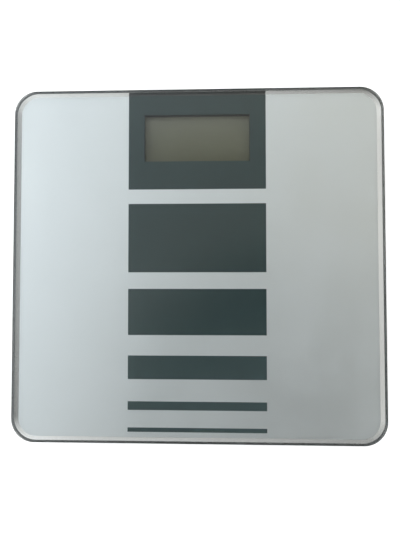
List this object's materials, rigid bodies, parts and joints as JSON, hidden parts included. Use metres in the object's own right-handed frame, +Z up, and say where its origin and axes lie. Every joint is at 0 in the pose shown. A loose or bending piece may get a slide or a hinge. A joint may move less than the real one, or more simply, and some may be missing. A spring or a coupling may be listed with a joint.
{
  "type": "digital bathroom scale",
  "caption": "Low square glass-topped electronic weighing scale with rounded corners, a silver and grey back-printed plate, a display window, sprung load-cell feet and a battery door.",
  "frame": {"origin": "centre of the footprint on the floor, under the middle of the glass plate", "axes": "+Z up, +Y towards the display edge, +X to the right of a person who faces the display"},
  "size_m": [0.315, 0.3, 0.028],
  "materials": {
    "glass": "polished clear toughened glass",
    "silver_print": "satin silver ink seen through glass",
    "grey_print": "satin slate-grey ink seen through glass",
    "dark_plastic": "fine moulded texture",
    "pod_plastic": "fine moulded texture",
    "grey_plastic": "satin moulded",
    "tape": "foam adhesive",
    "steel": "zinc-plated",
    "spring_steel": "blanked and nickel-plated",
    "sealant": "cured silicone",
    "foot_plastic": "moulded",
    "pad_rubber": "matt",
    "board": "solder-masked laminate",
    "black_resin": "cured epoxy",
    "chip": "moulded package",
    "passive": "fired ceramic",
    "polariser": "satin film",
    "lcd_glass": "polished",
    "reflector": "matt olive-grey film",
    "lcd_frame": "moulded",
    "elastomer": "layered silicone",
    "contact": "nickel-plated strip",
    "cell_can": "pressed stainless can",
    "lead": "PVC insulation"
  },
  "bodies": {
    "platform": {"glass_platform": "glass", "silver_print": "silver_print", "display_print": "grey_print", "block_prints": "grey_print", "housing_tape": "tape", "pod_tape": "tape", "display_housing": "dark_plastic", "housing_cover": "dark_plastic", "cover_screws": "steel", "board_screws": "steel", "retainer_screws": "steel", "main_board": "board", "controller_blob": "black_resin", "amplifier_chip": "chip", "board_passives": "passive", "lcd_polariser": "polariser", "lcd_front_glass": "lcd_glass", "lcd_rear_glass": "lcd_glass", "lcd_reflector": "reflector", "lcd_frame": "lcd_frame", "elastomer_strip": "elastomer", "switch_body": "chip", "coin_cell": "cell_can", "cell_holder": "chip", "cell_contact_negative": "contact", "cell_contact_positive": "contact", "gauge_sealant": "sealant", "pod_housing_rear_left": "pod_plastic", "load_cell_rear_left": "spring_steel", "cell_retainer_rear_left": "grey_plastic", "pod_housing_rear_right": "pod_plastic", "load_cell_rear_right": "spring_steel", "cell_retainer_rear_right": "grey_plastic", "pod_housing_front_left": "pod_plastic", "load_cell_front_left": "spring_steel", "cell_retainer_front_left": "grey_plastic", "pod_housing_front_right": "pod_plastic", "load_cell_front_right": "spring_steel", "cell_retainer_front_right": "grey_plastic", "cable_channel_rear_left": "dark_plastic", "cable_channel_front_left": "dark_plastic", "cable_channel_rear_right": "dark_plastic", "cable_channel_front_right": "dark_plastic", "rear_leads": "lead", "front_leads": "lead"},
    "unit_button": {"unit_button": "grey_plastic", "switch_plunger": "grey_plastic"},
    "battery_door": {"battery_door": "dark_plastic"},
    "foot_rear_left": {"foot_rear_left": "foot_plastic", "foot_pad_rear_left": "pad_rubber"},
    "foot_rear_right": {"foot_rear_right": "foot_plastic", "foot_pad_rear_right": "pad_rubber"},
    "foot_front_left": {"foot_front_left": "foot_plastic", "foot_pad_front_left": "pad_rubber"},
    "foot_front_right": {"foot_front_right": "foot_plastic", "foot_pad_front_right": "pad_rubber"}
  },
  "joints": [
    {"name": "foot_rear_left_drop", "type": "slide", "parent": "platform", "child": "foot_rear_left", "axis": [0, 0, 1], "range_m": [-0.0006, 0]},
    {"name": "foot_rear_right_drop", "type": "slide", "parent": "platform", "child": "foot_rear_right", "axis": [0, 0, 1], "range_m": [-0.0006, 0]},
    {"name": "foot_front_left_drop", "type": "slide", "parent": "platform", "child": "foot_front_left", "axis": [0, 0, 1], "range_m": [-0.0006, 0]},
    {"name": "foot_front_right_drop", "type": "slide", "parent": "platform", "child": "foot_front_right", "axis": [0, 0, 1], "range_m": [-0.0006, 0]},
    {"name": "unit_button_press", "type": "slide", "parent": "platform", "child": "unit_button", "axis": [0, 0, 1], "range_m": [0, 0.0005], "stiffness_N_per_m": 2400, "springref_m": -0.0001},
    {"name": "battery_door_hinge", "type": "hinge", "parent": "platform", "child": "battery_door", "pos_m": [0.028, 0.094, 0.0075], "axis": [-1, 0, 0], "range_deg": [0, 100]}
  ]
}
